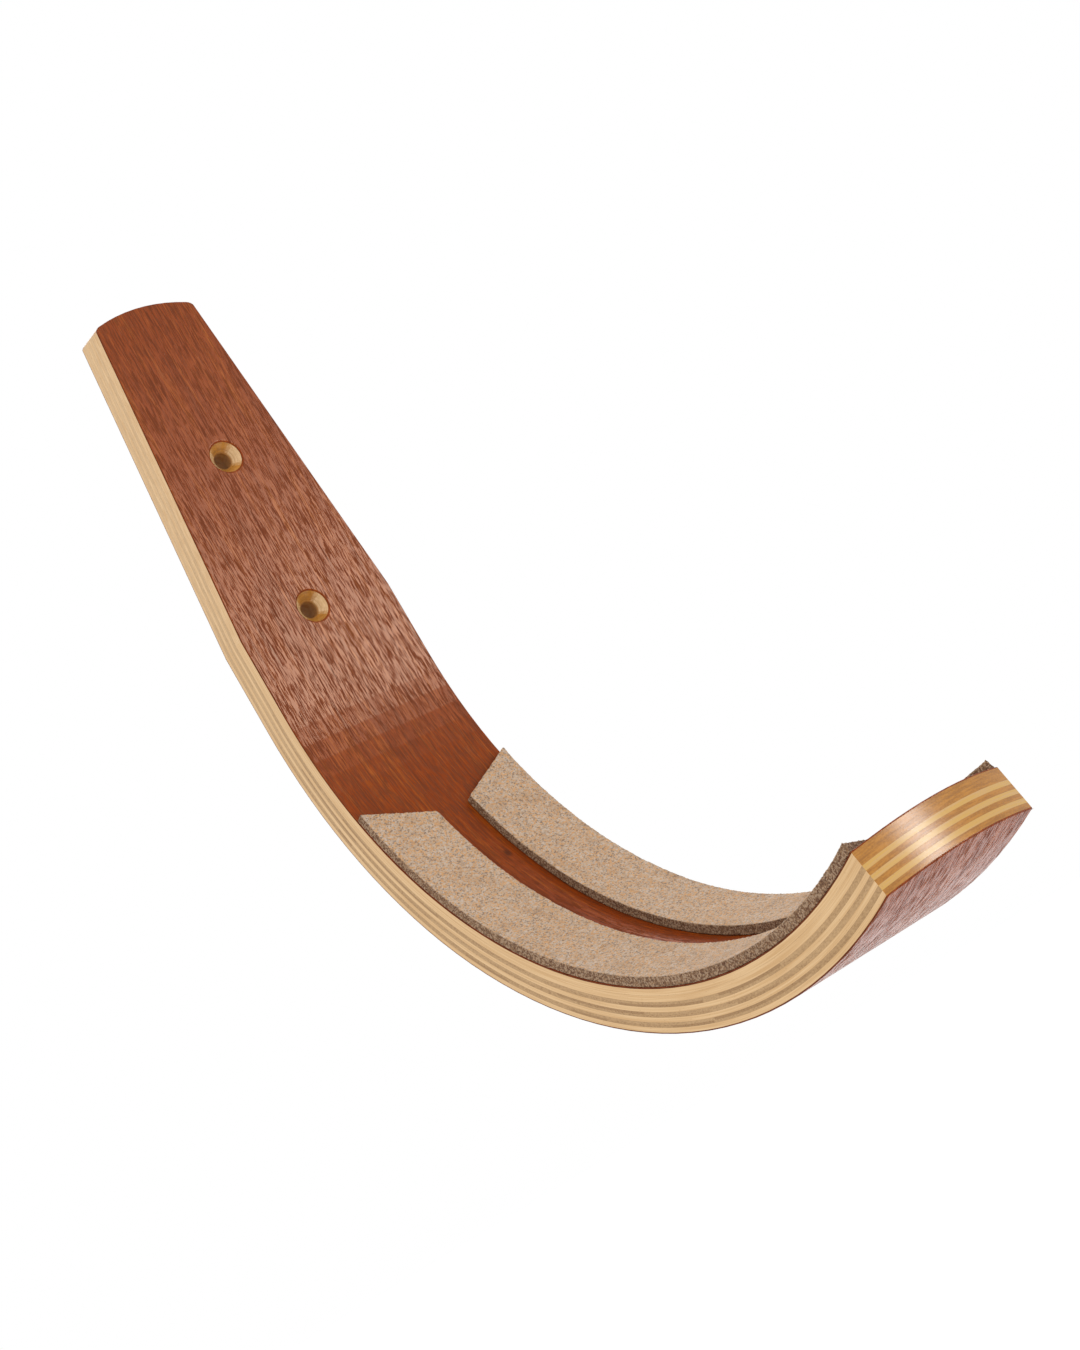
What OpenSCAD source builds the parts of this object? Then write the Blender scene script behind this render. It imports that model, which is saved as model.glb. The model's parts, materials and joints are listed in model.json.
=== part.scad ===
// Wall arm of bent plywood with two cushioning pads.
// X runs across the arm, Y into the wall and Z up. The wall plane is Y = 0,
// and the origin lies on it, midway between the two screw holes.

/* [Laminate] */
// Thickness of each face veneer
veneer_t = 0.4; // [0.3:0.1:0.8]
// Thickness of each of the two core plies nearest the front
thick_ply_t = 1.8; // [1.4:0.1:2.2]
// Thickness of each of the six other core plies
thin_ply_t = 1.4; // [1.2:0.1:1.8]

/* [Outline] */
// Width across the corners of the top end
top_w = 35.5; // [30:0.1:45]
// Width at the end of the taper, where the arm is widest
full_w = 56; // [50:0.5:70]
// Width across the corners of the tip
tip_w = 53.6; // [46:0.2:60]
// Length of the taper, down from the top corners
taper_l = 107.7; // [90:0.1:120]
// How far the convex top end rises above its corners
top_crown = 3; // [2:0.2:6]
// How far the convex tip end reaches past its corners
tip_crown = 4.2; // [2:0.2:6]
// Radius on the two top corners
top_corner_r = 3; // [1:0.5:4]
// Angle of the top end cut, which leaves the wall side longer
top_bevel = 4; // [0:1:12]
// Angle of the tip end cut, which leaves the cradle side longer
tip_bevel = 10; // [0:1:15]

/* [Bend] */
// Straight length, down from the top corners to the start of the bend
straight_l = 132.7; // [120:0.1:150]
// Radius of the cradle face in the bend
bend_r = 128.8; // [110:0.2:150]
// Angle that the bend turns through, up to the tip corners
bend_angle = 112; // [90:1:125]

/* [Screw holes] */
// Diameter of the two clearance holes
hole_d = 5.5; // [4:0.5:6.5]
// Diameter of the countersinks at the front face
sink_d = 11; // [9:0.5:13]
// Full angle of the countersinks
sink_angle = 82; // [82:8:90]
// Distance from the top corners down to the upper hole
upper_hole_drop = 52.1; // [45:0.1:60]
// Distance between the two holes
hole_pitch = 53.4; // [40:0.2:60]

/* [Pads] */
// Thickness of the pads
pad_t = 3.2; // [2:0.2:5]
// Width of each pad
pad_w = 22; // [18:0.5:23]
// Distance along the middle of the laminate from the top corners to the pads
pad_drop = 173.5; // [160:0.5:190]
// Angle of the pads' end cuts, measured from straight across the arm
pad_cut = 24.5; // [0:0.5:35]

/* [Hidden] */
$fn = 96;
// Facets of a full turn on the bend and on the convex ends
wide_fn = 240;

mahogany = "#8a4526";
long_grain = "#e0c489";
cross_grain = "#b58f62";
granulate = "#b9a08c";

thick_plies = 2;
thin_plies = 6;
laminate_t = 2 * veneer_t + thick_plies * thick_ply_t + thin_plies * thin_ply_t;
mid_r = bend_r + laminate_t / 2;
back_r = bend_r + laminate_t;

corner_z = upper_hole_drop + hole_pitch / 2;
bend_z = corner_z - straight_l;
knee_z = corner_z - taper_l;
side_slope = (full_w - top_w) / 2 / taper_l;
// How far the tip corners are from the wall
reach = back_r - mid_r * cos(bend_angle);
// Distance from the wall at which the arm starts to narrow towards the tip
narrowing_y = 2 * laminate_t;
corner_lap = 0.25;

// Room that tools and blanks leave past the surfaces they cut
spare = 10;
past_tip = 8;
cutter_t = 4 * laminate_t;
drill_over = 1;

sink_l = (sink_d - hole_d) / 2 / tan(sink_angle / 2);

// Angle of a point of the bend, from its distance along the middle of the laminate
function bend_at(drop) = (drop - straight_l) / mid_r * 180 / PI;
// Depth of a core ply's front face behind the front of the arm, with plies counted from 1
function ply_depth(n) = veneer_t
    + min(n - 1, thick_plies) * thick_ply_t
    + max(n - 1 - thick_plies, 0) * thin_ply_t;
function ply_t(n) = n <= thick_plies ? thick_ply_t : thin_ply_t;
// Radius of a convex end that rises by crown over a half width
function crown_r(half_w, crown) = (half_w * half_w + crown * crown) / (2 * crown);

// Moves its children to a point of the bend, with +Y along the arm and +Z out of the bend
module on_bend(angle, r) {
    translate([0, r * cos(angle) - back_r, bend_z - r * sin(angle)])
        rotate([-90 - angle, 0, 0])
            children();
}

// A layer of the bend, between two radii
module bent_layer(r, t, angle) {
    translate([0, -back_r, bend_z])
        rotate([0, -90, 0])
            rotate([0, 0, 90])
                rotate_extrude(angle = angle, $fn = wide_fn)
                    translate([r, -full_w / 2 - spare])
                        square([t, full_w + 2 * spare]);
}

// A layer of the straight part above the bend
module straight_layer(depth, t) {
    translate([-full_w / 2 - spare, depth - laminate_t, bend_z])
        cube([full_w + 2 * spare, t, straight_l + spare]);
}

// The taper's two sides, seen from the front and carried on down past the knee
module taper_outline() {
    head_z = corner_z + 2 * spare;
    head_w = top_w - 2 * side_slope * (head_z - corner_z);
    foot_z = bend_z - back_r - spare;
    foot_w = full_w + 2 * side_slope * (knee_z - foot_z);
    rotate([90, 0, 0])
        translate([0, 0, -spare])
            linear_extrude(reach + 3 * spare)
                polygon([
                    [-foot_w / 2, foot_z], [foot_w / 2, foot_z],
                    [head_w / 2, head_z], [-head_w / 2, head_z]
                ]);
}

// Half the width at a distance out from the wall, as seen from above
function plan_half_w(out) = full_w / 2
    - max(out - narrowing_y, 0) * (full_w - tip_w) / 2 / (reach - narrowing_y);

// A prism seen from above, whose two sides follow the arm's right side
// The first is inset from it by inset_1 and the second by inset_2
module plan_strip(inset_1, inset_2) {
    far_y = reach + 2 * spare;
    translate([0, 0, bend_z - back_r - spare])
        linear_extrude(straight_l + back_r + 4 * spare)
            polygon([
                [full_w / 2 - inset_1, spare],
                [full_w / 2 - inset_1, -narrowing_y],
                [plan_half_w(far_y) - inset_1, -far_y],
                [plan_half_w(far_y) - inset_2, -far_y],
                [full_w / 2 - inset_2, -narrowing_y],
                [full_w / 2 - inset_2, spare]
            ]);
}

// The arm's two sides below the knee, as seen from above
module plan_outline() {
    far_y = reach + 2 * spare;
    translate([0, 0, bend_z - back_r - spare])
        linear_extrude(straight_l + back_r + 4 * spare)
            polygon([
                [full_w / 2, spare], [full_w / 2, -narrowing_y],
                [plan_half_w(far_y), -far_y], [-plan_half_w(far_y), -far_y],
                [-full_w / 2, -narrowing_y], [-full_w / 2, spare]
            ]);
}

// What lies beyond a convex end, whose corners are half_w either side on Y = 0
module end_waste(half_w, crown) {
    r = crown_r(half_w, crown);
    linear_extrude(cutter_t, center = true)
        difference() {
            translate([-full_w, -spare / 2])
                square([2 * full_w, 4 * spare]);
            translate([0, crown - r])
                circle(r = r, $fn = wide_fn);
        }
}

// What lies outside the round on the top end's right corner
// The round starts a little past the side, so that it meets it at a clear edge
module corner_waste() {
    end_r = crown_r(top_w / 2, top_crown);
    end_centre = [0, top_crown - end_r];
    side_up = [-side_slope, 1] / norm([side_slope, 1]);
    side_out = [side_up[1], -side_up[0]];
    foot = [top_w / 2, 0] - (top_corner_r - corner_lap) * side_out;
    arm = foot - end_centre;
    rise = sqrt((arm * side_up) ^ 2 - arm * arm + (end_r - top_corner_r) ^ 2) - arm * side_up;
    centre = foot + rise * side_up;
    end_out = (centre - end_centre) / norm(centre - end_centre);
    past = 3 * top_corner_r;
    linear_extrude(cutter_t, center = true)
        difference() {
            polygon([
                centre, centre + past * side_out,
                centre + past * (side_out + end_out), centre + past * end_out
            ]);
            translate(centre) circle(r = top_corner_r);
        }
}

module top_waste() {
    translate([0, -laminate_t / 2, corner_z])
        rotate([90 + top_bevel, 0, 0]) {
            end_waste(top_w / 2, top_crown);
            corner_waste();
            mirror([1, 0, 0]) corner_waste();
        }
}

module tip_waste() {
    on_bend(bend_angle, mid_r)
        rotate([tip_bevel, 0, 0])
            end_waste(tip_w / 2, tip_crown);
}

// The two screw holes, with their countersinks in the front face
module screw_holes() {
    for (z = [hole_pitch / 2, -hole_pitch / 2]) {
        translate([0, 0, z])
            rotate([90, 0, 0]) {
                translate([0, 0, -drill_over])
                    cylinder(d = hole_d, h = laminate_t + 2 * drill_over);
                translate([0, 0, laminate_t - sink_l])
                    cylinder(
                        d1 = hole_d,
                        d2 = sink_d + 2 * drill_over * tan(sink_angle / 2),
                        h = sink_l + drill_over
                    );
            }
    }
}

// One layer of the laminate, from its front face's depth behind the front of the arm
module laminate_layer(depth, t) {
    difference() {
        intersection() {
            union() {
                straight_layer(depth, t);
                bent_layer(bend_r + depth, t, bend_angle + past_tip);
            }
            taper_outline();
            plan_outline();
        }
        top_waste();
        tip_waste();
        screw_holes();
    }
}

module front_veneer() {
    color(mahogany) laminate_layer(0, veneer_t);
}

// Plies 3, 5 and 7 have their grain across the arm, and the others along it
module core_ply(n) {
    crossed = n > thick_plies && n % 2 == 1;
    color(crossed ? cross_grain : long_grain) laminate_layer(ply_depth(n), ply_t(n));
}

module back_veneer() {
    color(mahogany) laminate_layer(laminate_t - veneer_t, veneer_t);
}

// The pad on the +X side. Its inner edge is shorter than its outer edge.
module pad() {
    skew = pad_w * tan(pad_cut);
    half_skew = skew / 2 / bend_r * 180 / PI;
    lead = laminate_t / 2 * tan(tip_bevel) / mid_r * 180 / PI;
    start = bend_at(pad_drop) + half_skew;
    end = bend_angle + lead - half_skew;
    difference() {
        intersection() {
            bent_layer(bend_r - pad_t, pad_t, bend_angle + past_tip);
            plan_strip(0, pad_w);
        }
        on_bend(start, bend_r)
            translate([full_w / 2 - pad_w / 2, 0, 0])
                rotate([0, 0, -pad_cut])
                    translate([-full_w, -2 * full_w, -2 * spare])
                        cube([2 * full_w, 2 * full_w, 4 * spare]);
        on_bend(end, bend_r)
            translate([tip_w / 2 - pad_w / 2, 0, 0])
                rotate([0, 0, pad_cut])
                    translate([-full_w, 0, -2 * spare])
                        cube([2 * full_w, full_w, 4 * spare]);
    }
}

module pad_right() {
    color(granulate) pad();
}

module pad_left() {
    color(granulate) mirror([1, 0, 0]) pad();
}

front_veneer();
core_ply(1);  // core_ply_1
core_ply(2);  // core_ply_2
core_ply(3);  // core_ply_3
core_ply(4);  // core_ply_4
core_ply(5);  // core_ply_5
core_ply(6);  // core_ply_6
core_ply(7);  // core_ply_7
core_ply(8);  // core_ply_8
back_veneer();
pad_left();
pad_right();
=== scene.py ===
"""A bent plywood wall arm: its veneers, its plies, its two granulate pads and a pale stage."""

import json
import math

import bpy
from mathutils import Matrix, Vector

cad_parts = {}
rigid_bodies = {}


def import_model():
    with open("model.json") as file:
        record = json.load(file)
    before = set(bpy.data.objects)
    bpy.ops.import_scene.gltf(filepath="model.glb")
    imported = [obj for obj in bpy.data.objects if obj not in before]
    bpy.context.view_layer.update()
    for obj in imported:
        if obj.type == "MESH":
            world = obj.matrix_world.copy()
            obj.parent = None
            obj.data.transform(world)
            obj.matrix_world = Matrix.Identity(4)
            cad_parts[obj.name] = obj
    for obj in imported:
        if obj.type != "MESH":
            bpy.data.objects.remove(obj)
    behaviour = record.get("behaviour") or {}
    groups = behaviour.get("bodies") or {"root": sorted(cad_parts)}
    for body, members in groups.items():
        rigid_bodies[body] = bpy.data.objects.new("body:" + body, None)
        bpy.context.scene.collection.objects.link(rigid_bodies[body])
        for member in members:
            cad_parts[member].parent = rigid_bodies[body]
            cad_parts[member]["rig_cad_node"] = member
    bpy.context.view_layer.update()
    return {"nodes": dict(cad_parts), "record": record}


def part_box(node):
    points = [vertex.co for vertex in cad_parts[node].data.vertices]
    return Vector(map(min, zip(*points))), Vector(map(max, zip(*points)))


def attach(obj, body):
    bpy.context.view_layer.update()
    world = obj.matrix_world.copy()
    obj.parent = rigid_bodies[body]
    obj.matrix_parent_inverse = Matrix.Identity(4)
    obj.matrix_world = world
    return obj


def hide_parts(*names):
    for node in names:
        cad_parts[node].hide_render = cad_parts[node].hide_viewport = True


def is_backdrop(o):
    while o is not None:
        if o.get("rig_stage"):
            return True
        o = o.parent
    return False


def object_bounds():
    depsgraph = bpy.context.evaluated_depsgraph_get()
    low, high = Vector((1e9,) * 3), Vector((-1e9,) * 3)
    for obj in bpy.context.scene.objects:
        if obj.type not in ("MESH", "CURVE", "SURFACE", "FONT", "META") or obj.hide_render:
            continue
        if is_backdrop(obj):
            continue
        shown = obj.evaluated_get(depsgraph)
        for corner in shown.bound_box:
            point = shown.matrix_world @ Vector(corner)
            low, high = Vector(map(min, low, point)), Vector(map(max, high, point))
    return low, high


bl_info = {
    "name": "Plywood wall arm",
    "version": (1, 0, 0),
    "blender": (4, 5, 0),
    "location": "View3D > Sidebar > Wall arm",
    "description": "Finishes a bent plywood wall arm and pads its cradle",
    "category": "Object",
}

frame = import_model()

VENEERS = ("front_veneer", "back_veneer")
THICK_PLIES = ("core_ply_1", "core_ply_2")
LONG_PLIES = ("core_ply_4", "core_ply_6", "core_ply_8")
CROSS_PLIES = ("core_ply_3", "core_ply_5", "core_ply_7")
SHEETS = tuple(node + "_sheet" for node in VENEERS)
PLIES = THICK_PLIES + LONG_PLIES + CROSS_PLIES
MM = 0.001

# Points closer than this are one point
SAME_POINT = 0.001 * MM
# A curved face's flat facets stay this close to its true radius
FACE_SLACK = 0.08 * MM
# A veneer's triangles that turn less than the first angle are one face, edges that turn more
# than the second are its rim, and those that turn less than the third are shaded smooth
FLAT_ANGLE = math.radians(0.5)
SHARP_ANGLE = math.radians(35)
SMOOTH_ANGLE = math.radians(12)

# Marks in the wood, and the painted shade in the bores, in millimetres across and along the
# laid-flat arm.
# A pin knot in the strip between the pads:
KNOT_X = 3.2
KNOT_ALONG = 75.0
KNOT_R = 1.3
KNOT_STRETCH = 1.6
# The painted shade inside the screw holes' bores:
BORE_R = 2.9
BORE_FADE = 0.3
# The strips that a cross-grain ply is laid from:
STRIP_W = 26.0
# The dark line of glue at a ply's faces:
GLUE_T = 0.16

# The sweep that the pads are cut from
SWEEP_STEPS = 180
SWEEP_ANGLE = math.radians(125)
SWEEP_SPARE = 2.0 * MM
# A pad's glued corners lie this close to the cradle face, and this close to its side edges
GLUED_SLACK = 0.02 * MM
CORNER_REACH = 2.0 * MM
# The relief starts this far from the glued face, and is full at twice as far
GLUED_EDGE = 0.5 * MM
# Points this close to a pad's widest place, and to its tip end, are taken to be at it
EDGE_SLACK = 0.01 * MM
TIP_SLACK = 0.1 * MM
# Round the bend, the pads' wall ends come before this angle, and their tip ends after it
WALL_END_ANGLE = math.radians(30)

# Each lamp's place, width, height and power, in metres and watts
LAMPS = {
    "key": ((-0.9, -1.2, 1.5), 1.4, 1.4, 9.0),
    "rim": ((0.8, 0.9, 0.9), 0.8, 0.8, 3.0),
}
# The same for lamps that show only as a reflection, and the pieces that they show in
SHEENS = {
    "plate sheen": ((1.0, -1.6, 0.25), 0.85, 0.42, 46.0, SHEETS),
    "tip sheen": ((0.81, -1.49, 0.29), 0.3, 0.4, 9.0, PLIES),
    "underside sheen": ((0.49, 0.17, -0.53), 0.6, 0.6, 0.55, SHEETS),
}
LAMP_AIM = Vector((0.0, -0.07, -0.06))
SENSOR_W = 36.0
FLOOR_R = 9.0


def depth_of(node):
    """How far a layer's back face stands out from the wall."""
    return -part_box(node)[1].y


VENEER_T = depth_of("core_ply_8")
LAMINATE_T = depth_of("front_veneer") + VENEER_T
THICK_PLY_T = depth_of("core_ply_1") - depth_of("core_ply_2")
THIN_PLY_T = depth_of("core_ply_7") - depth_of("core_ply_8")


# ---------------------------------------------------------------- sizes and colours


class ArmSizes(bpy.types.PropertyGroup):
    """The bend that the arm's layers and its pads follow."""

    bend_r: bpy.props.FloatProperty(
        name="Bend radius",
        description="Radius of the cradle face in the bend",
        default=0.1288,
        min=0.05,
        unit="LENGTH",
        subtype="DISTANCE",
    )
    edge_ease: bpy.props.FloatProperty(
        name="Edge easing",
        description="Width of the sanded round along each veneer's outer edges",
        default=0.28 * MM,
        min=0.0,
        precision=5,
        unit="LENGTH",
        subtype="DISTANCE",
    )


class PadSizes(bpy.types.PropertyGroup):
    """The two granulate strips in the cradle."""

    grain: bpy.props.FloatProperty(
        name="Granule size",
        description="Width of a typical granule",
        default=1.1 * MM,
        min=0.0001,
        precision=5,
        unit="LENGTH",
        subtype="DISTANCE",
    )
    relief: bpy.props.FloatProperty(
        name="Relief",
        description="Height of the granules over the pits between them",
        default=0.16 * MM,
        min=0.0,
        precision=5,
        unit="LENGTH",
        subtype="DISTANCE",
    )
    mesh_size: bpy.props.FloatProperty(
        name="Mesh size",
        description="Width of the pads' mesh faces",
        default=0.42 * MM,
        min=0.0001,
        precision=5,
        unit="LENGTH",
        subtype="DISTANCE",
    )
    corner_round: bpy.props.FloatProperty(
        name="Corner round",
        description="Radius on the corners at the pads' wall ends",
        default=1.2 * MM,
        min=0.0,
        precision=5,
        unit="LENGTH",
        subtype="DISTANCE",
    )


def colour(label, words, value):
    """A colour setting, in linear red, green and blue."""
    return bpy.props.FloatVectorProperty(
        name=label, description=words, default=value, size=3, min=0.0, max=1.0, subtype="COLOR"
    )


class FinishColours(bpy.types.PropertyGroup):
    """The colours of the woods and of the granulate."""

    mahogany: colour("Mahogany", "Face veneer between its streaks", (0.224, 0.0365, 0.004))
    mahogany_dark: colour("Dark mahogany", "Face veneer's dark streaks", (0.145, 0.025, 0.004))
    mahogany_light: colour("Light mahogany", "Face veneer's light streaks", (0.34, 0.08, 0.009))
    pore: colour("Pore", "Open pores in the face veneer", (0.062, 0.014, 0.004))
    cream: colour("Cream", "Long-grain plies on the arm's sides", (0.7, 0.475, 0.25))
    cream_dark: colour("Dark cream", "Streaks in the long-grain plies", (0.56, 0.34, 0.15))
    tan: colour("Tan", "Cross-grain plies on the arm's sides", (0.43, 0.262, 0.118))
    tan_dark: colour("Dark tan", "Pores in the cross-grain plies", (0.28, 0.155, 0.062))
    amber: colour("Amber", "End grain of the long-grain plies", (0.47, 0.2, 0.03))
    amber_dark: colour("Dark amber", "Rings in that end grain", (0.32, 0.13, 0.022))
    straw: colour("Straw", "Cross-grain plies seen on the arm's ends", (0.58, 0.34, 0.088))
    glue: colour("Glue line", "Glue between two plies", (0.3, 0.15, 0.05))
    pad_skin: colour("Pad skin", "Flat face of the pads", (0.5, 0.355, 0.24))
    pad_grey: colour("Grey granule", "Grey granules in the pads", (0.53, 0.42, 0.33))
    pad_cork: colour("Cork granule", "Orange granules in the pads", (0.57, 0.3, 0.12))
    pad_dark: colour("Dark granule", "Dark specks in the pads", (0.13, 0.078, 0.045))
    pad_edge: colour("Cut edge", "Cut edges of the pads", (0.25, 0.135, 0.066))


class StageSizes(bpy.types.PropertyGroup):
    """The floor, the lights and the camera."""

    floor_drop: bpy.props.FloatProperty(
        name="Floor drop",
        description="Distance from the arm's lowest point down to the floor",
        default=0.45,
        min=0.0,
        unit="LENGTH",
        subtype="DISTANCE",
    )
    camera_place: bpy.props.FloatVectorProperty(
        name="Camera place",
        description="Where the camera stands",
        default=(-0.37177, -0.57622, -0.17837),
        size=3,
        unit="LENGTH",
        subtype="TRANSLATION",
    )
    camera_turn: bpy.props.FloatVectorProperty(
        name="Camera turn",
        description="The camera's rotation about X, Y and Z",
        default=(1.73918, 0.53053, -0.56837),
        size=3,
        unit="ROTATION",
        subtype="EULER",
    )
    lens: bpy.props.FloatProperty(
        name="Lens", description="Focal length in millimetres", default=61.22, min=10.0
    )
    sky: bpy.props.FloatProperty(
        name="Surround", description="Brightness of the pale surround", default=1.0, min=0.0
    )


# ---------------------------------------------------------------- shader patterns


class Pattern:
    """A number that changes over a surface. Python's operators add its Math nodes."""

    def __init__(self, finish, socket):
        self.finish = finish
        self.socket = socket

    def math(self, operation, *terms):
        made = self.finish.node("ShaderNodeMath", {"operation": operation}, dict(enumerate(terms)))
        return Pattern(self.finish, made.outputs[0])

    def __add__(self, other):
        return self.math("ADD", self, other)

    def __sub__(self, other):
        return self.math("SUBTRACT", self, other)

    def __rsub__(self, other):
        return self.math("SUBTRACT", other, self)

    def __mul__(self, other):
        return self.math("MULTIPLY", self, other)

    def __truediv__(self, other):
        return self.math("DIVIDE", self, other)

    def __rtruediv__(self, other):
        return self.math("DIVIDE", other, self)

    def __abs__(self):
        return self.math("ABSOLUTE", self)

    __radd__ = __add__
    __rmul__ = __mul__

    def at_least(self, other):
        return self.math("MAXIMUM", self, other)

    def floor(self):
        return self.math("FLOOR", self)

    def distance(self, other):
        """The straight distance that two steps at a right angle cover."""
        return self.math("SQRT", self * self + other * other)

    def rise(self, low, high):
        """0 below low and 1 above high, with a smooth step between them."""
        made = self.finish.node(
            "ShaderNodeMapRange",
            {"interpolation_type": "SMOOTHSTEP"},
            {"Value": self, "From Min": low, "From Max": high},
        )
        return Pattern(self.finish, made.outputs[0])


class Finish:
    """One material, and the steps that its patterns are made of. Lengths are in millimetres."""

    def __init__(self, name):
        self.material = bpy.data.materials.new(name)
        self.material.use_nodes = True
        self.tree = self.material.node_tree
        self.shader = self.tree.nodes["Principled BSDF"]

    def link(self, value, socket):
        if isinstance(value, Pattern):
            value = value.socket
        if isinstance(value, bpy.types.NodeSocket):
            self.tree.links.new(value, socket)
        elif socket.type == "RGBA":
            socket.default_value = (*value[:3], 1.0)
        else:
            socket.default_value = value

    def node(self, kind, settings=None, inputs=None):
        """Adds one node: its settings first, and then the values or links of its inputs."""
        made = self.tree.nodes.new(kind)
        for name, value in (settings or {}).items():
            setattr(made, name, value)
        for name, value in (inputs or {}).items():
            self.link(value, made.inputs[name])
        return made

    def point(self, x, y, z):
        made = self.node("ShaderNodeCombineXYZ", None, {0: x, 1: y, 2: z})
        return made.outputs[0]

    def parts(self, vector):
        made = self.node("ShaderNodeSeparateXYZ", None, {0: vector})
        return [Pattern(self, socket) for socket in made.outputs]

    def noise(self, x, y, z, detail=2.0, roughness=0.5):
        place = self.point(x, y, z)
        made = self.node(
            "ShaderNodeTexNoise",
            None,
            {"Vector": place, "Scale": 1.0, "Detail": detail, "Roughness": roughness},
        )
        return Pattern(self, made.outputs[0])

    def cells(self, x, y, z):
        place = self.point(x, y, z)
        return self.node("ShaderNodeTexVoronoi", None, {"Vector": place, "Scale": 1.0})

    def cell_distance(self, x, y, z):
        """How far each place is from the middle of its cell."""
        return Pattern(self, self.cells(x, y, z).outputs["Distance"])

    def cell_tone(self, x, y, z):
        """One random number for each cell."""
        return self.parts(self.cells(x, y, z).outputs["Color"])[0]

    def mix(self, factor, first, second):
        """Goes from the first colour, at a factor of 0, to the second, at 1."""
        made = self.node("ShaderNodeMix", {"data_type": "RGBA"}, {0: factor, 6: first, 7: second})
        return made.outputs[2]

    def relief(self, height, strength, distance):
        """A bump that raises a height of 1 by distance, in metres."""
        sockets = {"Strength": strength, "Distance": distance, "Height": height}
        return self.node("ShaderNodeBump", None, sockets).outputs[0]

    def wear(self, **sockets):
        """Feeds the shader's own sockets, named with underscores for spaces."""
        for name, value in sockets.items():
            self.link(value, self.shader.inputs[name.replace("_", " ")])
        return self.material

    def along_the_arm(self, sizes):
        """Across, along and through the arm, as if its bend were laid flat, and how far
        round the bend each place is, in radians."""
        middle_r = (sizes.bend_r + LAMINATE_T / 2) / MM
        centre_y, centre_z = (value / MM for value in bend_centre(sizes))
        place = self.node("ShaderNodeTexCoord").outputs["Object"]
        x, y, z = (part * (1 / MM) for part in self.parts(place))
        out = y - centre_y
        height = z - centre_z
        below = (0 - height).at_least(0)
        turn = below.math("ARCTAN2", below, out)
        along = turn * middle_r - height.at_least(0)
        depth = below.distance(out) - sizes.bend_r / MM
        return x, along, depth, turn

    def end_facing(self, turn):
        """How far a surface faces along the arm: 1 on an end cut, 0 on a side or a face."""
        out_part = self.facing(1) * turn.math("SINE", turn)
        return abs(out_part + self.facing(2) * turn.math("COSINE", turn))

    def facing(self, axis):
        """One part of the surface's direction: 0 for X, 1 for Y and 2 for Z."""
        normal = self.node("ShaderNodeNewGeometry").outputs["True Normal"]
        return self.parts(normal)[axis]


def bend_centre(sizes):
    """The Y and Z of the line that the bend turns about."""
    back_r = sizes.bend_r + LAMINATE_T
    return -back_r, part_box("back_veneer")[0].z + back_r


def screw_holes(sizes):
    """How far along the laid-flat arm the two screw holes are, in millimetres."""
    bend_z = bend_centre(sizes)[1]
    mounts = frame["record"]["mounts"]
    return [(bend_z - mount["pos_m"][2]) / MM for mount in mounts if mount["kind"] == "bore"]


def mahogany(name, sizes, colours):
    """Face veneer: ribbon figure, streaks, open pores and a pin knot, under a satin lacquer."""
    finish = Finish(name)
    x, along, depth, _ = finish.along_the_arm(sizes)
    seed = depth * 3.0
    # The grain wanders a little from side to side
    x = x + finish.noise(x * 0.05, along * 0.012, seed) * 1.6
    ribbon = finish.noise(x * 0.16, along * 0.012, seed, detail=3.0)
    streak = finish.noise(x * 1.1, along * 0.024, seed + 5.0, detail=4.0, roughness=0.68)
    fibre = finish.noise(x * 2.6, along * 0.09, seed + 9.0, detail=3.0, roughness=0.6)
    tone = ribbon * 0.4 + streak * 0.9 + fibre * 0.4 - 0.35
    wood = finish.mix(tone.rise(0.22, 0.5), colours.mahogany_dark, colours.mahogany)
    wood = finish.mix(tone.rise(0.46, 0.78), wood, colours.mahogany_light)
    # Long narrow cells with one random number each: those with the highest are the pores
    wide = finish.cell_tone(x * 3.9, along * 0.26, seed + 2.0).rise(0.7, 0.77)
    slim = finish.cell_tone(x * 5.6, along * 0.4, seed + 31.0).rise(0.72, 0.79)
    pore = wide.at_least(slim * 0.8)
    wood = finish.mix(pore * 0.5, wood, colours.pore)
    # Faces of the veneer that look along X, its side edges and their eased rounds, are darkened
    # toward the pore colour: partly the veneer's own dark edge, partly painted shade.
    dark_edge_and_shade = abs(finish.facing(0)).rise(0.5, 0.9)
    wood = finish.mix(dark_edge_and_shade * 0.65, wood, colours.pore)
    knot_x = (x - KNOT_X) / KNOT_R
    knot_along = (along - KNOT_ALONG) / (KNOT_STRETCH * KNOT_R)
    ring = knot_x.distance(knot_along) + fibre * 0.5
    wood = finish.mix((1.0 - ring.rise(0.5, 1.4)) * 0.75, wood, colours.pore)
    return finish.wear(
        Base_Color=wood,
        Roughness=fibre * 0.08 + pore * 0.4 + 0.22,
        Normal=finish.relief(fibre * 0.15 - pore, 0.45, 0.03 * MM),
        Specular_IOR_Level=0.12,
        Specular_Tint=(1.0, 0.79, 0.56),
    )


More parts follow.
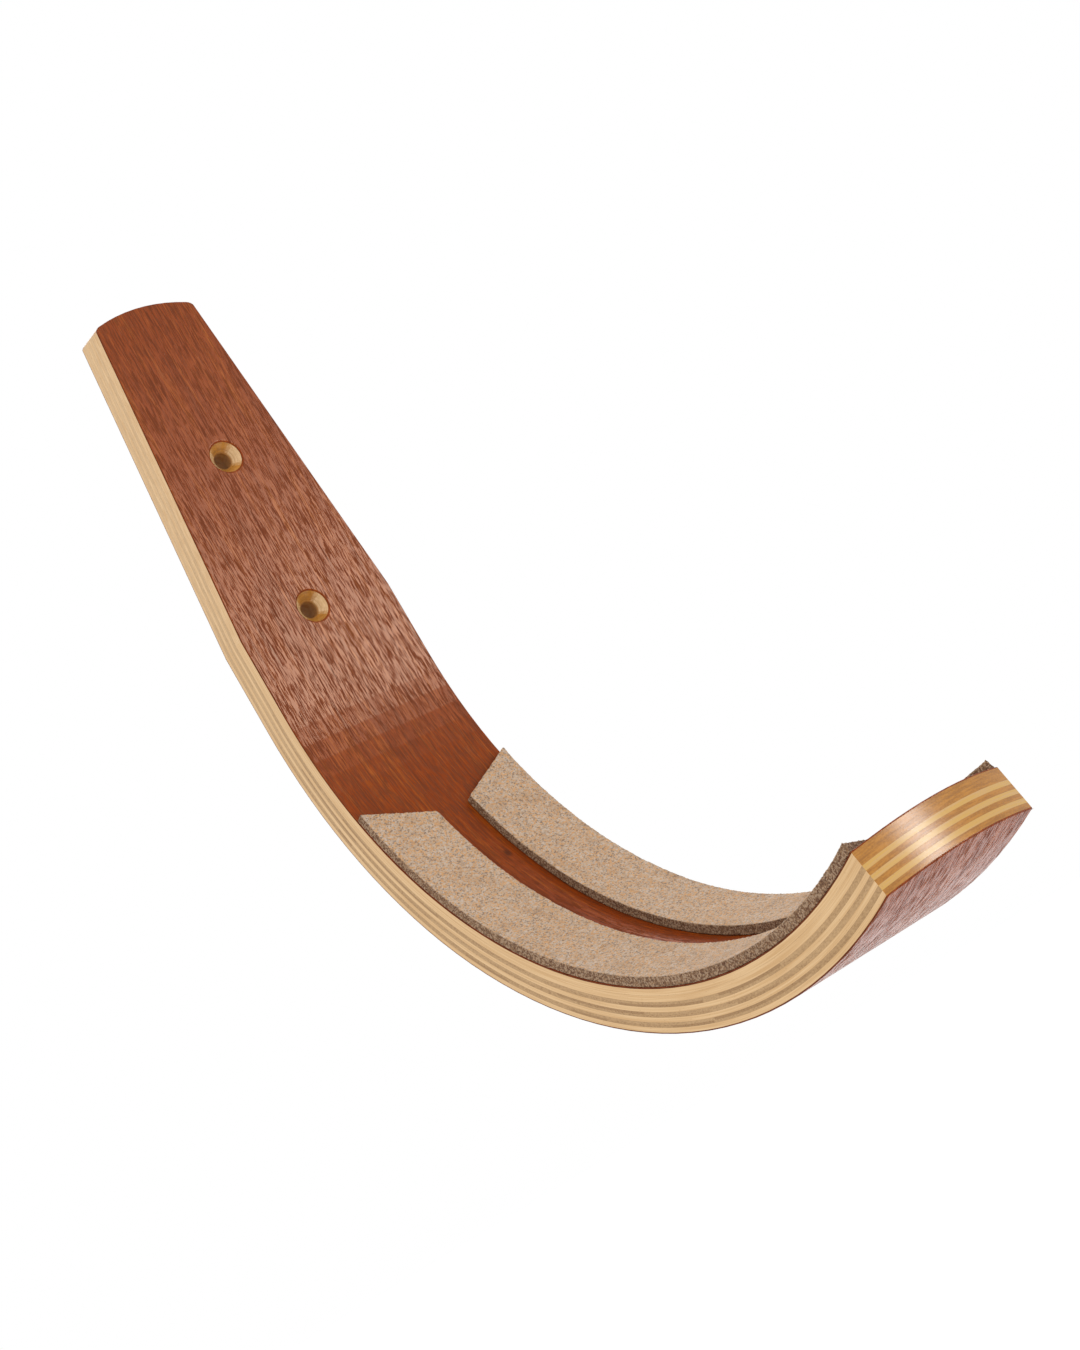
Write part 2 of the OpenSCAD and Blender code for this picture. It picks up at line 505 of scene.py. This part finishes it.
def ply(name, sizes, colours, first_depth, ply_t, crossed):
    """A core ply, which shows its long grain one way and its end grain the other."""
    finish = Finish(name)
    x, along, depth, turn = finish.along_the_arm(sizes)
    ply_mm = ply_t / MM
    # Whole numbers of layer fall on the plies' faces
    layer = (depth - first_depth / MM) / ply_mm
    sheet = (layer + 0.5).floor()
    end_cut = finish.end_facing(turn).rise(0.35, 0.65)
    cloud = finish.noise(x * 0.04, along * 0.03, depth * 0.3, detail=2.0)
    dots = finish.noise(x * 1.5, along * 1.3, depth * 2.6, detail=3.0, roughness=0.65)
    if crossed:
        lines = finish.noise(x * 0.07, along * 0.3, depth * 2.4, detail=3.0)
        strip = finish.cell_tone(sheet * 7.31, along / STRIP_W + sheet * 3.7, 0.5)
        side = finish.mix(dots.rise(0.3, 0.7), colours.tan_dark, colours.tan)
        # The stripes are paler up the plate, and one strip in ten is dark lower down
        pale = (1.0 - along.rise(-90.0, 45.0)) * 0.5 + strip * 0.25
        side = finish.mix(pale, side, colours.cream)
        stained = (1.0 - strip.rise(0.1, 0.16)) * along.rise(-30.0, 60.0)
        side = finish.mix(stained * 0.55, side, colours.tan_dark)
        face = finish.mix(lines.rise(0.25, 0.6), colours.cream_dark, colours.straw)
        height = dots
    else:
        lines = finish.noise(x * 2.6, along * 0.035, depth * 2.6, detail=3.0, roughness=0.6)
        rings = finish.noise(x * 0.16, along * 0.02, depth * 1.5 + sheet * 5.0, detail=3.0)
        side = finish.mix(lines.rise(0.28, 0.72), colours.cream_dark, colours.cream)
        tone = dots * 0.45 + rings * 0.65
        face = finish.mix(tone.rise(0.4, 0.68), colours.amber_dark, colours.amber)
        height = lines
    wood = finish.mix(end_cut, side, face)
    edge = abs(layer - layer.floor() - 0.5) * 2.0
    seam = edge.rise(1.0 - GLUE_T / ply_mm, 1.0) * 0.5
    wood = finish.mix(seam, wood, colours.glue)
    dull = dots * 0.14 + 0.22 - end_cut * 0.06
    # Painted shade: the plies inside each screw hole's bore are darkened toward dark amber, and
    # made duller.
    for hole in screw_holes(sizes):
        bore = 1.0 - (along - hole).distance(x).rise(BORE_R, BORE_R + BORE_FADE)
        wood = finish.mix(bore * 0.8, wood, colours.amber_dark)
        dull = dull + bore * 0.5
    speck = 1.0 - finish.cell_distance(x * 0.6, along * 0.35, depth * 0.9).rise(0.05, 0.12)
    wood = finish.mix(speck * 0.35 + cloud * 0.12, wood, colours.glue)
    return finish.wear(
        Base_Color=wood,
        Roughness=dull,
        Normal=finish.relief(height - seam, 0.35, 0.025 * MM),
        Specular_IOR_Level=0.3,
    )


def granulate(name, sizes, colours, thickness):
    """Cork and rubber granules: a pale sanded skin over darker cut edges. The top's paleness is
    partly painted sheen, and the cut edges' darkness partly painted shade.
    """
    finish = Finish(name)
    x, along, depth, _ = finish.along_the_arm(sizes)
    big = finish.cell_tone(x * 1.4, along * 1.4, depth * 1.4)
    small = finish.cell_tone(x * 2.4 + 40.0, along * 2.4, depth * 2.4)
    fine = finish.noise(x * 2.8, along * 2.8, depth * 2.8, detail=2.0, roughness=0.7)
    blotch = finish.noise(x * 0.16, along * 0.16, depth * 0.1, detail=3.0)
    greyer = (blotch * 0.5 + big * 0.5).rise(0.3, 0.7)
    # The top skin's colour: the granulate's own skin and dust, made paler with painted sheen.
    skin = finish.mix(greyer, colours.pad_skin, colours.pad_grey)
    skin = finish.mix(small.rise(0.66, 0.74) * 0.85, skin, colours.pad_cork)
    skin = finish.mix((1.0 - small.rise(0.12, 0.2)) * 0.6, skin, colours.pad_dark)
    skin = finish.mix((1.0 - fine.rise(0.32, 0.5)) * 0.35, skin, colours.pad_dark)
    skin = finish.mix((1.0 - blotch.rise(0.3, 0.5)) * 0.16, skin, colours.pad_edge)
    # The cut sides' colour: the granulate's cut face, made darker with painted shade.
    cut = finish.mix(fine.rise(0.38, 0.62), colours.pad_dark, colours.pad_edge)
    cut = finish.mix(small.rise(0.62, 0.7) * 0.4, cut, colours.pad_skin)
    cut = finish.mix((1.0 - small.rise(0.2, 0.3)) * 0.6, cut, colours.pore)
    # Just under the top face, the pale top gives way to the darker sides.
    below = depth + thickness / MM
    crumbs = finish.mix(below.rise(0.15, 0.5), skin, cut)
    return finish.wear(
        Base_Color=crumbs,
        Roughness=0.86,
        Normal=finish.relief(fine * 0.6 + small * 0.4, 0.7, 0.18 * MM),
        Specular_IOR_Level=0.3,
    )


# ---------------------------------------------------------------- shaping by hand


def clear_selection():
    if bpy.context.mode != "OBJECT":
        bpy.ops.object.mode_set(mode="OBJECT")
    bpy.ops.object.select_all(action="DESELECT")


def work_on(piece):
    clear_selection()
    piece.select_set(True)
    bpy.context.view_layer.objects.active = piece


def choose(piece, kind, wanted):
    """Selects only the vertices, edges or faces of an edited mesh that wanted picks."""
    bpy.ops.mesh.select_all(action="DESELECT")
    bpy.ops.object.mode_set(mode="OBJECT")
    mode = {"vertices": "VERT", "edges": "EDGE", "polygons": "FACE"}[kind]
    for item in getattr(piece.data, kind):
        item.select = wanted(item)
    bpy.ops.object.mode_set(mode="EDIT")
    bpy.ops.mesh.select_mode(type=mode)


def modify(piece, kind, **settings):
    """Adds one modifier with its settings, and applies it."""
    work_on(piece)
    bpy.ops.object.modifier_add(type=kind)
    modifier = piece.modifiers[-1]
    for name, value in settings.items():
        setattr(modifier, name, value)
    bpy.ops.object.modifier_apply(modifier=modifier.name)


def slice_off(point, outward):
    """Cuts the edited mesh with a plane, drops what lies outward of it and closes the cut."""
    bpy.ops.mesh.select_all(action="SELECT")
    bpy.ops.mesh.bisect(
        plane_co=point, plane_no=outward, use_fill=True, clear_outer=True, threshold=SAME_POINT
    )


def dress(piece, material, slot, *nodes):
    """Gives a new piece its material and its place in the frame."""
    piece.data.materials.clear()
    piece.data.materials.append(material)
    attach(piece, "root")
    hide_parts(*nodes)


# ---------------------------------------------------------------- operators


class ARM_OT_veneers(bpy.types.Operator):
    """Eases the outer edges of the two face veneers and gives them their mahogany"""

    bl_idname = "arm.veneers"
    bl_label = "Face veneers"

    def execute(self, context):
        sizes = context.scene.arm_sizes
        colours = context.scene.arm_colours
        wood = mahogany("lacquered mahogany", sizes, colours)
        for node in VENEERS:
            piece = self.sheet(sizes, node)
            dress(piece, wood, "veneer", node)
        return {"FINISHED"}

    def sheet(self, sizes, node):
        """A copy of the veneer's solid, with its outer edges rounded over."""
        work_on(frame["nodes"][node])
        bpy.ops.object.duplicate()
        piece = bpy.context.object
        piece.name = piece.data.name = node + "_sheet"
        del piece["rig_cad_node"]
        bpy.ops.object.mode_set(mode="EDIT")
        bpy.ops.mesh.select_all(action="SELECT")
        bpy.ops.mesh.customdata_custom_splitnormals_clear()
        bpy.ops.mesh.remove_doubles(threshold=SAME_POINT)
        bpy.ops.mesh.normals_make_consistent(inside=False)
        bpy.ops.mesh.dissolve_limited(angle_limit=FLAT_ANGLE)
        self.pick_rim(piece, sizes, front=node == "front_veneer")
        bpy.ops.mesh.bevel(offset=sizes.edge_ease, segments=3, profile=0.5, clamp_overlap=True)
        bpy.ops.object.mode_set(mode="OBJECT")
        bpy.ops.object.shade_smooth_by_angle(angle=SMOOTH_ANGLE)
        modify(piece, "WEIGHTED_NORMAL", mode="FACE_AREA", weight=90, keep_sharp=True)
        return piece

    def pick_rim(self, piece, sizes, front):
        """Selects the edges round the sheet's outer face."""
        centre_y, centre_z = bend_centre(sizes)
        outer_r = sizes.bend_r + (0.0 if front else LAMINATE_T)
        bpy.ops.object.mode_set(mode="OBJECT")
        points = piece.data.vertices
        normals = {}
        for face in piece.data.polygons:
            for key in face.edge_keys:
                normals.setdefault(key, []).append(face.normal.copy())

        def on_outer_face(vertex):
            out = vertex.co.y - centre_y
            below = max(centre_z - vertex.co.z, 0.0)
            return abs(math.hypot(out, below) - outer_r) < FACE_SLACK

        def wanted(edge):
            sides = normals.get(tuple(sorted(edge.vertices)), [])
            if len(sides) != 2 or sides[0].angle(sides[1], 0.0) < SHARP_ANGLE:
                return False
            return all(on_outer_face(points[index]) for index in edge.vertices)

        bpy.ops.object.mode_set(mode="EDIT")
        choose(piece, "edges", wanted)


class ARM_OT_plies(bpy.types.Operator):
    """Gives the core plies their long grain, end grain and glue lines"""

    bl_idname = "arm.plies"
    bl_label = "Core plies"

    def execute(self, context):
        sizes = context.scene.arm_sizes
        colours = context.scene.arm_colours
        thin_start = VENEER_T + len(THICK_PLIES) * THICK_PLY_T
        finishes = (
            (THICK_PLIES, "thick long-grain ply", VENEER_T, THICK_PLY_T, False),
            (LONG_PLIES, "long-grain ply", thin_start, THIN_PLY_T, False),
            (CROSS_PLIES, "cross-grain ply", thin_start, THIN_PLY_T, True),
        )
        for nodes, name, first_depth, ply_t, crossed in finishes:
            material = ply(name, sizes, colours, first_depth, ply_t, crossed)
            for node in nodes:
                for slot in frame["nodes"][node].material_slots:
                    slot.material = material
        return {"FINISHED"}


class ARM_OT_pads(bpy.types.Operator):
    """Models the two granulate pads, with their slanted ends, soft edges and grainy skin"""

    bl_idname = "arm.pads"
    bl_label = "Cradle pads"

    def execute(self, context):
        sizes = context.scene.arm_sizes
        pads = context.scene.arm_pads
        colours = context.scene.arm_colours
        thickness = self.thickness(sizes)
        material = granulate("cork and rubber granulate", sizes, colours, thickness)
        for node in ("pad_left", "pad_right"):
            piece = self.strip(sizes, pads, node, thickness)
            dress(piece, material, "pad", node)
        return {"FINISHED"}

    def thickness(self, sizes):
        """The pads' thickness, from their face nearest the middle of the bend."""
        centre_y, centre_z = bend_centre(sizes)
        points = (vertex.co for vertex in frame["nodes"]["pad_left"].data.vertices)
        return sizes.bend_r - min(math.hypot(co.y - centre_y, co.z - centre_z) for co in points)

    def ends(self, sizes, node):
        """The angles round the bend of the four corners of the pad's glued face."""
        centre_y, centre_z = bend_centre(sizes)
        found = []
        for vertex in frame["nodes"][node].data.vertices:
            out = vertex.co.y - centre_y
            below = centre_z - vertex.co.z
            if abs(math.hypot(out, below) - sizes.bend_r) < GLUED_SLACK:
                found.append((math.atan2(below, out), vertex.co.x))
        outer = max(abs(x) for _, x in found)
        inner = min(abs(x) for _, x in found)
        near_outer = [angle for angle, x in found if abs(x) > outer - CORNER_REACH]
        near_inner = [angle for angle, x in found if abs(x) < inner + CORNER_REACH]
        return min(near_outer), min(near_inner), max(near_inner), max(near_outer)

    def on_bend(self, sizes, angle, x):
        """The point of the cradle face at an angle round the bend."""
        centre_y, centre_z = bend_centre(sizes)
        r = sizes.bend_r
        return Vector((x, centre_y + r * math.cos(angle), centre_z - r * math.sin(angle)))

    def strip(self, sizes, pads, node, thickness):
        """Sweeps the pad's section round the bend, trims it, and raises its grain."""
        low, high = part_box(node)
        side = 1.0 if high.x > 0 else -1.0
        corners = [vertex.co for vertex in frame["nodes"][node].data.vertices]
        centre_y, centre_z = bend_centre(sizes)
        clear_selection()
        bpy.ops.mesh.primitive_plane_add(
            size=1.0,
            location=((low.x + high.x) / 2, centre_y + sizes.bend_r - thickness / 2, centre_z),
        )
        piece = bpy.context.object
        piece.name = piece.data.name = node + "_granulate"
        bpy.ops.object.mode_set(mode="EDIT")
        bpy.ops.transform.resize(value=(high.x - low.x + 2 * SWEEP_SPARE, thickness, 1.0))
        bpy.ops.mesh.spin(
            steps=SWEEP_STEPS,
            angle=SWEEP_ANGLE,
            center=(0.0, centre_y, centre_z),
            axis=(1.0, 0.0, 0.0),
        )
        bpy.ops.mesh.select_all(action="SELECT")
        bpy.ops.mesh.remove_doubles(threshold=SAME_POINT)
        self.trim(sizes, node, side, corners)
        bpy.ops.mesh.select_all(action="SELECT")
        bpy.ops.mesh.normals_make_consistent(inside=False)
        self.round_corners(piece, sizes, pads, thickness)
        bpy.ops.object.mode_set(mode="OBJECT")
        bpy.ops.object.transform_apply(location=True, rotation=True, scale=True)
        modify(piece, "REMESH", mode="VOXEL", voxel_size=pads.mesh_size)
        modify(piece, "SMOOTH", factor=0.5, iterations=2)
        self.raise_grain(piece, sizes, pads)
        bpy.ops.object.shade_smooth()
        return piece

    def trim(self, sizes, node, side, corners):
        """Cuts the two sides and the two slanted ends."""
        start_out, start_in, end_in, end_out = self.ends(sizes, node)
        far_y = min(co.y for co in corners)
        tip = [co for co in corners if co.y < far_y + TIP_SLACK]
        tip_out = max(tip, key=lambda co: co.x * side)
        start_x = max(co.x * side for co in corners)
        wide = [co for co in corners if co.x * side > start_x - EDGE_SLACK]
        wide_y = min(co.y for co in wide)
        slope = (start_x - tip_out.x * side) / (wide_y - tip_out.y)
        in_tip = min(corners, key=lambda co: co.x * side)
        inner_x = in_tip.x * side + slope * (wide_y - in_tip.y)
        self.cut_side(side, start_x, wide_y, slope, 1.0)
        self.cut_side(side, inner_x, wide_y, slope, -1.0)
        self.cut_end(sizes, side, start_out, start_in, -1.0, start_x, inner_x)
        self.cut_end(sizes, side, end_out, end_in, 1.0, tip_out.x * side, in_tip.x * side)

    def cut_side(self, side, x, y, slope, way):
        """Cuts along one long edge: way is 1 for the outer edge and -1 for the inner one."""
        normal = Vector((side, -slope, 0.0)) * way
        slice_off((side * x, y, 0.0), normal)

    def cut_end(self, sizes, side, outer_angle, inner_angle, way, outer_x, inner_x):
        """Cuts one slanted end: way is -1 for the wall end and 1 for the tip end."""
        outer = self.on_bend(sizes, outer_angle, side * outer_x)
        inner = self.on_bend(sizes, inner_angle, side * inner_x)
        middle = (outer_angle + inner_angle) / 2
        radial = Vector((0.0, math.cos(middle), -math.sin(middle)))
        along = Vector((0.0, -math.sin(middle), -math.cos(middle)))
        normal = (outer - inner).cross(radial)
        if normal.dot(along) * way < 0:
            normal.negate()
        slice_off(outer, normal)

    def round_corners(self, piece, sizes, pads, thickness):
        """Rounds the two upright corner edges at the wall end."""
        centre_y, centre_z = bend_centre(sizes)
        bpy.ops.object.mode_set(mode="OBJECT")
        points = piece.data.vertices

        def wanted(edge):
            first, second = (points[index].co for index in edge.vertices)
            if abs((first - second).length - thickness) > 0.3 * thickness:
                return False
            middle = (first + second) / 2
            radial = Vector((0.0, middle.y - centre_y, middle.z - centre_z)).normalized()
            upright = abs((first - second).normalized().dot(radial)) > 0.9
            angle = math.atan2(centre_z - middle.z, middle.y - centre_y)
            return upright and angle < WALL_END_ANGLE

        bpy.ops.object.mode_set(mode="EDIT")
        choose(piece, "edges", wanted)
        bpy.ops.mesh.bevel(offset=pads.corner_round, segments=4, profile=0.5, clamp_overlap=True)

    def raise_grain(self, piece, sizes, pads):
        """Raises granules and slow swells on every face but the glued one."""
        centre_y, centre_z = bend_centre(sizes)
        open_faces = "open faces"
        group = piece.vertex_groups.new(name=open_faces)
        for vertex in piece.data.vertices:
            r = math.hypot(vertex.co.y - centre_y, vertex.co.z - centre_z)
            free = min(max((sizes.bend_r - GLUED_EDGE - r) / GLUED_EDGE, 0.0), 1.0)
            group.add([vertex.index], free, "REPLACE")
        granules = bpy.data.textures.new("granules", "VORONOI")
        granules.noise_scale = pads.grain
        crumbs = bpy.data.textures.new("crumbs", "CLOUDS")
        crumbs.noise_scale = pads.grain * 0.7
        crumbs.noise_depth = 1
        swells = bpy.data.textures.new("swells", "CLOUDS")
        swells.noise_scale = pads.grain * 7
        for texture, strength, highest in (
            (granules, -pads.relief, 0.0),
            (crumbs, pads.relief * 0.8, 1.0),
            (swells, pads.relief * 0.7, 1.0),
        ):
            modify(
                piece,
                "DISPLACE",
                texture=texture,
                texture_coords="LOCAL",
                strength=strength,
                mid_level=highest,
                vertex_group=open_faces,
            )


class ARM_OT_stage(bpy.types.Operator):
    """Lays the pale floor and sets the lights, the surround and the camera"""

    bl_idname = "arm.stage"
    bl_label = "Stage"

    def execute(self, context):
        stage = context.scene.arm_stage
        self.lay_floor(stage)
        self.surround(context.scene, stage)
        for name, shape in LAMPS.items():
            self.lamp(name, *shape)
        for name, (*shape, pieces) in SHEENS.items():
            self.sheen(name, *shape, pieces)
        camera = bpy.data.cameras.new("camera")
        camera.lens = stage.lens
        camera.sensor_width = SENSOR_W
        holder = bpy.data.objects.new("camera", camera)
        holder.location = stage.camera_place
        holder.rotation_euler = stage.camera_turn
        context.scene.collection.objects.link(holder)
        context.scene.camera = holder
        context.scene.view_settings.view_transform = "Standard"
        return {"FINISHED"}

    def lay_floor(self, stage):
        clear_selection()
        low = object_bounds()[0]
        bpy.ops.mesh.primitive_circle_add(
            vertices=96,
            radius=FLOOR_R,
            fill_type="NGON",
            location=(0.0, 0.0, low[2] - stage.floor_drop),
        )
        floor = bpy.context.object
        floor.name = floor.data.name = "floor"
        bpy.ops.object.transform_apply(location=True, rotation=True, scale=True)
        paint = Finish("pale floor")
        place = paint.node("ShaderNodeTexCoord").outputs["Object"]
        x, y, z = paint.parts(place)
        mottle = paint.noise(x * 3.0, y * 3.0, z)
        floor.data.materials.append(
            paint.wear(
                Base_Color=paint.mix(mottle, (0.93, 0.93, 0.93), (0.95, 0.95, 0.95)),
                Roughness=0.9,
                Specular_IOR_Level=0.1,
                Emission_Color=(1.0, 1.0, 1.0),
                Emission_Strength=0.12,
            )
        )
        floor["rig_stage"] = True

    def surround(self, scene, stage):
        world = bpy.data.worlds.new("pale surround")
        world.use_nodes = True
        backdrop = world.node_tree.nodes["Background"]
        backdrop.inputs["Color"].default_value = (1.0, 1.0, 1.0, 1.0)
        backdrop.inputs["Strength"].default_value = stage.sky
        scene.world = world

    def sheen(self, name, place, width, height, power, pieces):
        """A lamp that is seen only as a reflection, and only in some of the pieces."""
        lamp = self.lamp(name, place, width, height, power)
        lamp.visible_diffuse = False
        lit = bpy.data.collections.new(name)
        for piece in pieces:
            lit.objects.link(bpy.data.objects[piece])
        lamp.light_linking.receiver_collection = lit

    def lamp(self, name, place, width, height, power):
        light = bpy.data.lights.new(name, "AREA")
        light.shape = "RECTANGLE"
        light.size = width
        light.size_y = height
        light.energy = power
        holder = bpy.data.objects.new(name, light)
        holder.location = place
        aim = LAMP_AIM - Vector(place)
        holder.rotation_euler = aim.to_track_quat("-Z", "Y").to_euler()
        bpy.context.scene.collection.objects.link(holder)
        return holder


class ARM_PT_sidebar(bpy.types.Panel):
    """Lists the arm's settings and the steps that make it"""

    bl_idname = "ARM_PT_sidebar"
    bl_label = "Wall arm"
    bl_space_type = "VIEW_3D"
    bl_region_type = "UI"
    bl_category = "Wall arm"

    def draw(self, context):
        for group in ("arm_sizes", "arm_pads", "arm_colours", "arm_stage"):
            settings = getattr(context.scene, group)
            column = self.layout.column(align=True)
            for name in settings.__annotations__:
                column.prop(settings, name)
        for step in STEPS:
            self.layout.operator(step.bl_idname)


GROUPS = {
    "arm_sizes": ArmSizes,
    "arm_pads": PadSizes,
    "arm_colours": FinishColours,
    "arm_stage": StageSizes,
}
STEPS = (ARM_OT_veneers, ARM_OT_plies, ARM_OT_pads, ARM_OT_stage)


def register():
    for kind in (*GROUPS.values(), *STEPS, ARM_PT_sidebar):
        bpy.utils.register_class(kind)
    for name, kind in GROUPS.items():
        setattr(bpy.types.Scene, name, bpy.props.PointerProperty(type=kind))


def unregister():
    for name in GROUPS:
        delattr(bpy.types.Scene, name)
    for kind in (ARM_PT_sidebar, *reversed(STEPS), *reversed(GROUPS.values())):
        bpy.utils.unregister_class(kind)


def main():
    register()
    bpy.ops.arm.veneers()
    bpy.ops.arm.plies()
    bpy.ops.arm.pads()
    bpy.ops.arm.stage()


if __name__ == "__main__":
    main()
